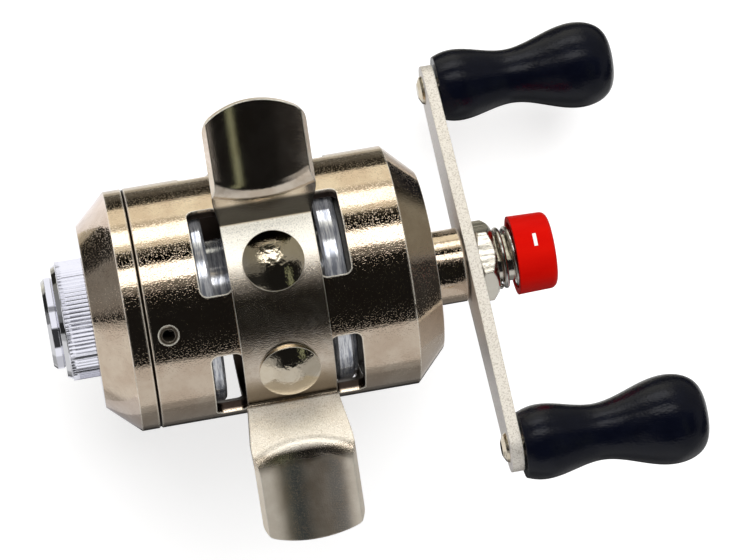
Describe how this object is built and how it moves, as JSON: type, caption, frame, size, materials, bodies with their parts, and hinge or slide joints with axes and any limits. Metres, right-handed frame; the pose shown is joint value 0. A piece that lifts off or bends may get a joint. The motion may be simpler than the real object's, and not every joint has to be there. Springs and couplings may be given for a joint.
{
  "type": "ice fishing reel",
  "caption": "Closed-face ice fishing reel: metal barrel with windows, nose line guide, rod foot, offset double-knob crank and thumb release button.",
  "frame": {"origin": "rod seat: the lowest line of the foot's two troughs, over the middle of the barrel", "axes": "+X along the reel axis from the line guide to the crank, +Y along the fishing rod, +Z out of the foot towards the rod"},
  "size_m": [0.1026, 0.0734, 0.0632],
  "materials": {
    "champagne_nickel": "pearl nickel plate, slightly warm, fine grain",
    "bright_chrome": "bright chrome plate",
    "foot_nickel": "stamped steel, warm nickel plate",
    "rivet_nickel": "nickel-plated rivet",
    "bearing_bronze": "sintered bronze",
    "cast_zinc": "die-cast zinc, machined",
    "spring_steel": "bright spring steel",
    "drag_felt": "pressed felt",
    "nut_nickel": "nickel-plated steel",
    "gear_brass": "cut brass",
    "arm_nickel": "stamped steel, pale satin nickel",
    "knob_black": "moulded, glossy",
    "button_red": "moulded, semi-matte",
    "mark_white": "inlaid index mark",
    "shaft_steel": "ground steel"
  },
  "bodies": {
    "housing": {"barrel_housing": "champagne_nickel", "front_cover": "champagne_nickel", "cover_pin": "champagne_nickel", "knurled_nose_ring": "bright_chrome", "line_guide_ring": "bright_chrome", "reel_foot": "foot_nickel", "foot_rivets": "rivet_nickel", "rear_boss": "champagne_nickel", "crank_bush": "bearing_bronze", "thrust_washer": "bearing_bronze", "deck_plate": "cast_zinc", "deck_snap_ring": "spring_steel", "drag_washer": "drag_felt", "spool_clip": "spring_steel", "pinion_bush": "bearing_bronze", "main_shaft_bush": "bearing_bronze"},
    "spool": {"line_spool": "bright_chrome"},
    "crank": {"crank_shaft": "nut_nickel", "ring_gear": "gear_brass", "crank_arm": "arm_nickel", "crank_nut": "nut_nickel", "knob_rivets": "rivet_nickel", "button_spring": "spring_steel"},
    "knob_upper": {"crank_knob_upper": "knob_black"},
    "knob_lower": {"crank_knob_lower": "knob_black"},
    "button": {"release_button": "button_red", "button_mark": "mark_white", "push_rod": "shaft_steel"},
    "pinion": {"pinion_gear": "gear_brass"},
    "spinner": {"main_shaft": "shaft_steel", "spinner_head": "cast_zinc", "spinner_nut": "nut_nickel", "shaft_collar": "spring_steel", "shaft_spring": "spring_steel"},
    "pickup": {"pickup_pin": "shaft_steel"}
  },
  "joints": [
    {"name": "crank_spin", "type": "hinge", "parent": "housing", "child": "crank", "pos_m": [0.0284, -0.0018, -0.0223], "axis": [1, 0, 0], "continuous": true},
    {"name": "knob_upper_spin", "type": "hinge", "parent": "crank", "child": "knob_upper", "pos_m": [0.045, -0.0269, 0.00194], "axis": [1, 0, 0], "continuous": true},
    {"name": "knob_lower_spin", "type": "hinge", "parent": "crank", "child": "knob_lower", "pos_m": [0.045, 0.0233, -0.04654], "axis": [1, 0, 0], "continuous": true},
    {"name": "button_press", "type": "slide", "parent": "crank", "child": "button", "axis": [-1, 0, 0], "range_m": [0, 0.0028], "stiffness_N_per_m": 900, "springref_m": -0.001, "deforming": ["button_spring"]},
    {"name": "pinion_spin", "type": "hinge", "parent": "housing", "child": "pinion", "pos_m": [0.015, 0, -0.0223], "axis": [1, 0, 0], "continuous": true},
    {"name": "spindle_travel", "type": "slide", "parent": "pinion", "child": "spinner", "axis": [-1, 0, 0], "range_m": [0, 0.0028], "deforming": ["shaft_spring"]},
    {"name": "pickup_travel", "type": "slide", "parent": "spinner", "child": "pickup", "axis": [0, 0, -1], "range_m": [0, 0.0014]},
    {"name": "spool_slip", "type": "hinge", "parent": "housing", "child": "spool", "pos_m": [0, 0, -0.0223], "axis": [1, 0, 0], "continuous": true}
  ],
  "couplings": [
    {"joint": "pinion_spin", "follows": "crank_spin", "ratio": 1.25},
    {"joint": "spindle_travel", "follows": "button_press", "ratio": 1},
    {"joint": "pickup_travel", "follows": "button_press", "ratio": 0.5}
  ]
}
